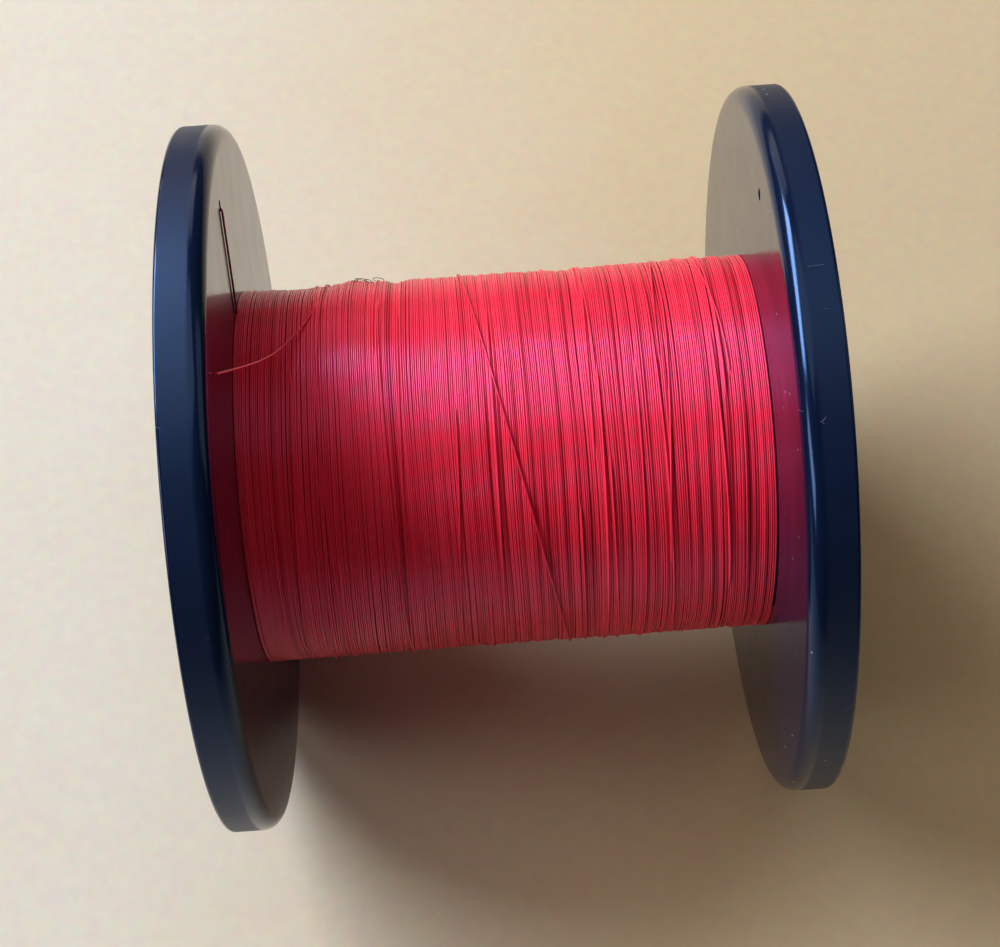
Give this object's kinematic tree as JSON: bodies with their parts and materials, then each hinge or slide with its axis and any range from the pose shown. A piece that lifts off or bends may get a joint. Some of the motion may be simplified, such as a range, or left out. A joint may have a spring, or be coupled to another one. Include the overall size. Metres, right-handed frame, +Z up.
{
  "type": "string reel",
  "caption": "Flanged moulded reel lying on its rims, wound with fine string, with one strand crossing the turns and a loose end leaning on a flange.",
  "frame": {"origin": "middle of the reel's axis, half way between the flanges", "axes": "+X along the reel's axis towards the right flange, +Z up, -Y towards the viewer; the reel lies on its rims"},
  "size_m": [0.0832, 0.1, 0.1],
  "materials": {
    "reel_plastic": "gloss",
    "string": "gloss"
  },
  "bodies": {
    "root": {"left_flange": "reel_plastic", "right_flange": "reel_plastic", "barrel": "reel_plastic", "string_inner_layers": "string", "string_outer_layer": "string", "string_crossing_strand": "string", "string_start_end": "string", "string_loose_end": "string"}
  },
  "joints": []
}
